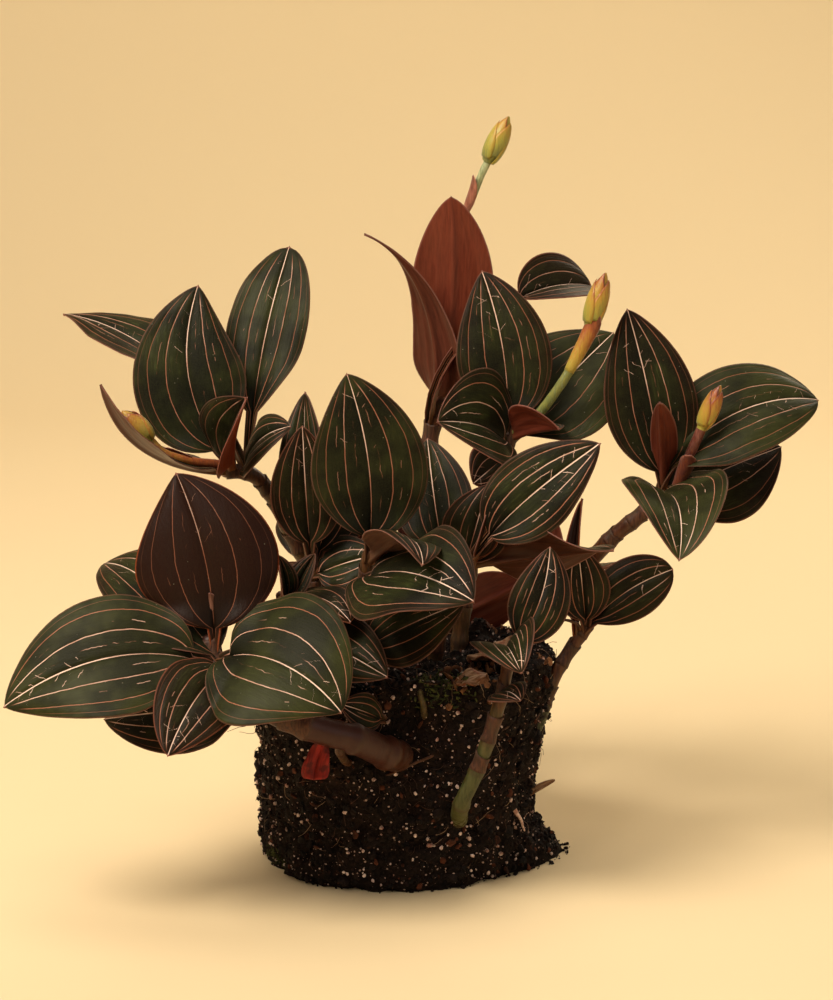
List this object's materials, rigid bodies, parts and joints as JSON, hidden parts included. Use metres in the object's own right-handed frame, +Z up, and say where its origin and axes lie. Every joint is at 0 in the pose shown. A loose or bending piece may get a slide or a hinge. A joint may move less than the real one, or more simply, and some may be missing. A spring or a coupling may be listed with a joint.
{
  "type": "jewel orchid plant",
  "caption": "Bushy jewel orchid with dark, pink-veined velvety leaves and young flower spikes, lifted from its pot and standing on its bare root ball of potting mix.",
  "frame": {"origin": "centre of the root ball's flat base, on the surface that it stands on", "axes": "+Z up; -Y is the front, the side that the picture shows; +X is to the right as seen from the front"},
  "size_m": [0.2636, 0.1927, 0.2465],
  "materials": {
    "potting_mix": "matte, crumbly and damp, with small pale grains of perlite",
    "foliage": "velvety, very dark green with thin pink veins, and burgundy undersides"
  },
  "bodies": {
    "root": {"root_ball": "potting_mix", "shoot_upper_left": "foliage", "shoot_lower_left": "foliage", "shoot_centre_front": "foliage", "shoot_centre_left": "foliage", "shoot_low_left": "foliage", "shoot_tall_back": "foliage", "shoot_upper_right": "foliage", "shoot_middle_right": "foliage", "shoot_far_right": "foliage", "shoot_low_right": "foliage", "shoot_low_front": "foliage", "shoot_low_back": "foliage", "shoot_rear_left": "foliage", "shoot_rear_middle": "foliage", "shoot_rear_right": "foliage"}
  },
  "joints": []
}
